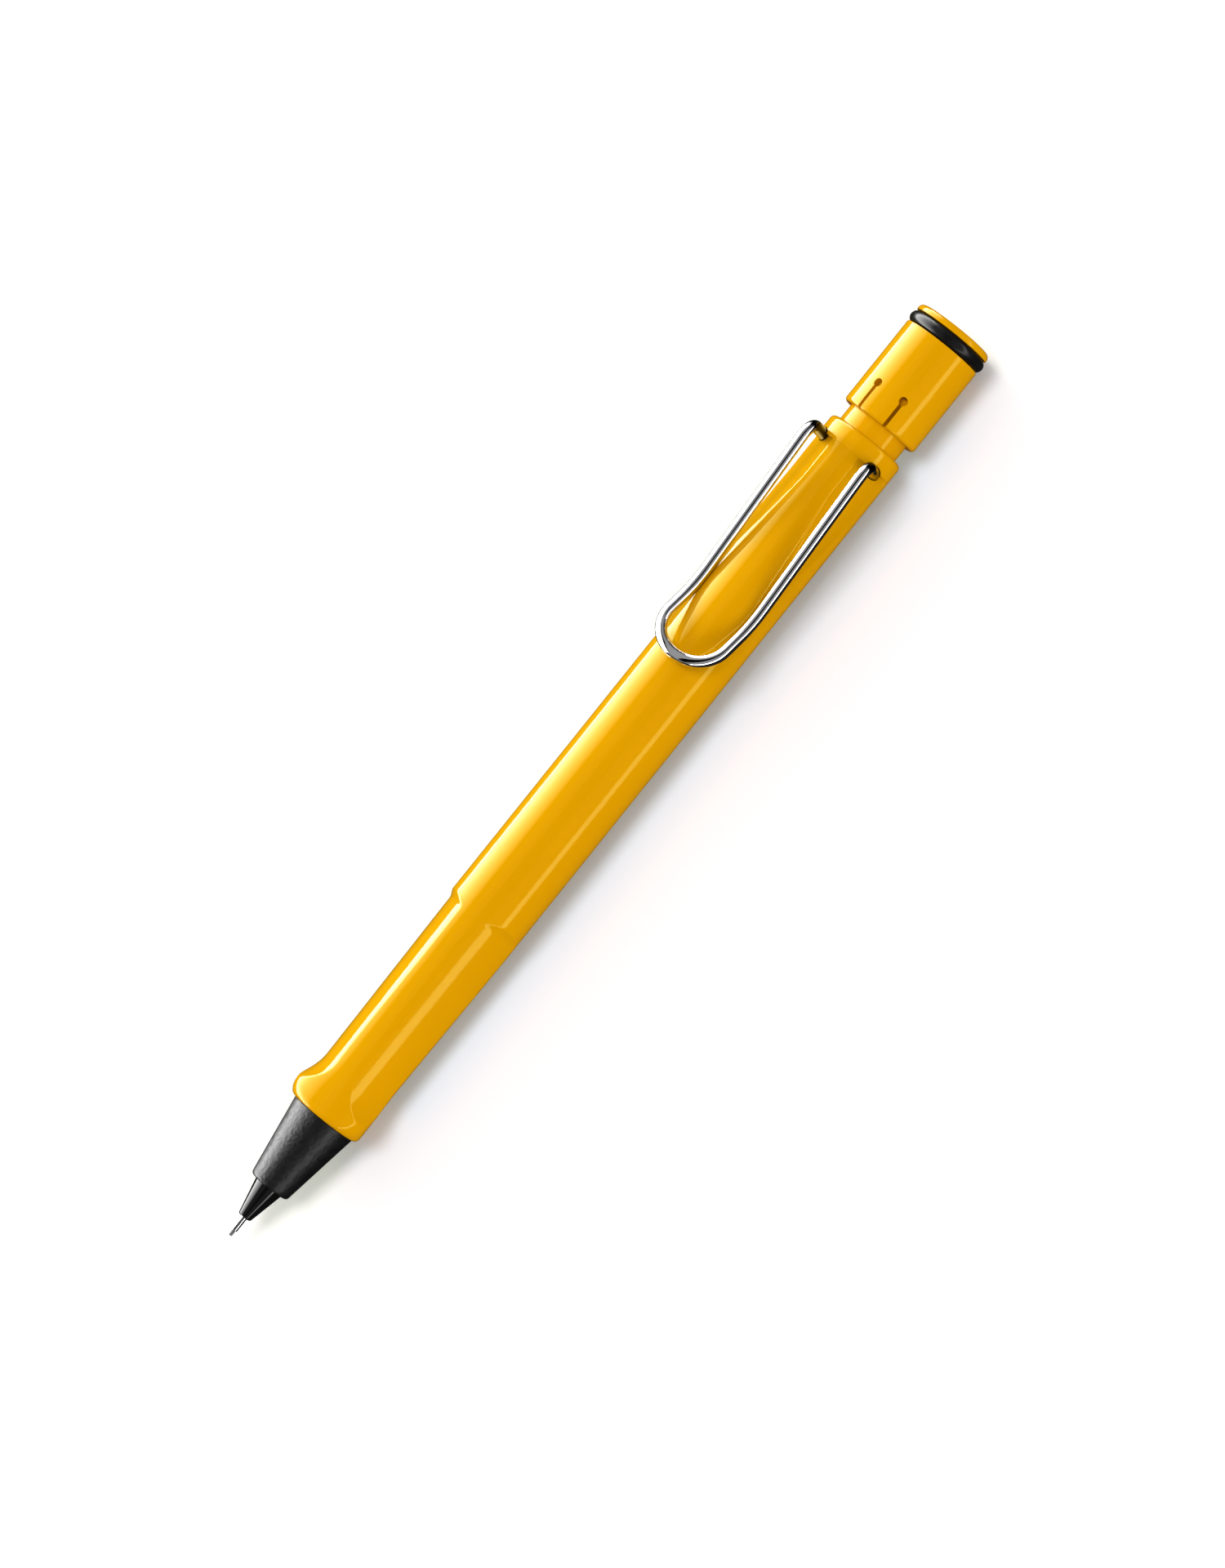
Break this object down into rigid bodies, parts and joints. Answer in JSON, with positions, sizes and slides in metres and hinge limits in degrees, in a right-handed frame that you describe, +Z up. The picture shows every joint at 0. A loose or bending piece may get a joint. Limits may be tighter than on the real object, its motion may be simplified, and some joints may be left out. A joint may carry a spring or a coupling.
{
  "type": "mechanical pencil",
  "caption": "Push-button mechanical pencil for thin leads, with a wire pocket clip, thumb facets at the grip, a matte nose cone and a pull-off cap over an eraser.",
  "frame": {"origin": "on the plane the pencil lies on, under the middle of its length", "axes": "+X along the pencil from the lead's tip to the push cap, +Z up through the clip, +Y across"},
  "size_m": [0.14, 0.011, 0.0136],
  "materials": {
    "yellow_plastic": "high gloss",
    "matte_black_plastic": "fine texture",
    "gloss_black_plastic": "gloss",
    "black_plastic": "satin",
    "white_plastic": "satin",
    "black_rubber": "satin",
    "white_rubber": "matte",
    "graphite": "dull sheen",
    "polished_wire": "polished",
    "steel": "drawn",
    "brass": "turned",
    "aluminium": "turned"
  },
  "bodies": {
    "barrel": {"barrel": "yellow_plastic", "clip_collar": "yellow_plastic", "mechanism_sleeve": "black_plastic", "main_spring": "steel"},
    "nose": {"nose_cone": "matte_black_plastic", "nose_tip": "gloss_black_plastic", "lead_sleeve": "steel", "lead_retainer": "black_rubber"},
    "plunger": {"collet": "brass", "tube_coupler": "black_plastic", "lead_tube": "white_plastic", "spare_leads": "graphite", "eraser_holder": "aluminium", "eraser": "white_rubber", "eraser_needle": "steel"},
    "cap": {"push_cap": "yellow_plastic", "cap_ring": "black_rubber"},
    "clip": {"clip": "polished_wire"},
    "feed": {"lead": "graphite", "clutch_ring": "brass"}
  },
  "joints": [
    {"name": "push", "type": "slide", "parent": "barrel", "child": "plunger", "axis": [-1, 0, 0], "range_m": [0, 0.0019], "stiffness_N_per_m": 1800, "springref_m": -0.0012, "deforming": ["main_spring"]},
    {"name": "lead_feed", "type": "slide", "parent": "barrel", "child": "feed", "axis": [-1, 0, 0], "range_m": [0, 0.00056]},
    {"name": "cap_pull", "type": "slide", "parent": "plunger", "child": "cap", "axis": [1, 0, 0], "range_m": [0, 0.02]},
    {"name": "nose_off", "type": "slide", "parent": "barrel", "child": "nose", "axis": [-1, 0, 0], "range_m": [0, 0.025]},
    {"name": "clip_flex", "type": "hinge", "parent": "barrel", "child": "clip", "pos_m": [0.0501, 0, 0.00808], "axis": [0, 1, 0], "range_deg": [0, 6], "stiffness_Nm_per_rad": 1, "springref_deg": -1.15}
  ],
  "couplings": [
    {"joint": "lead_feed", "follows": "push", "ratio": 0.29}
  ]
}
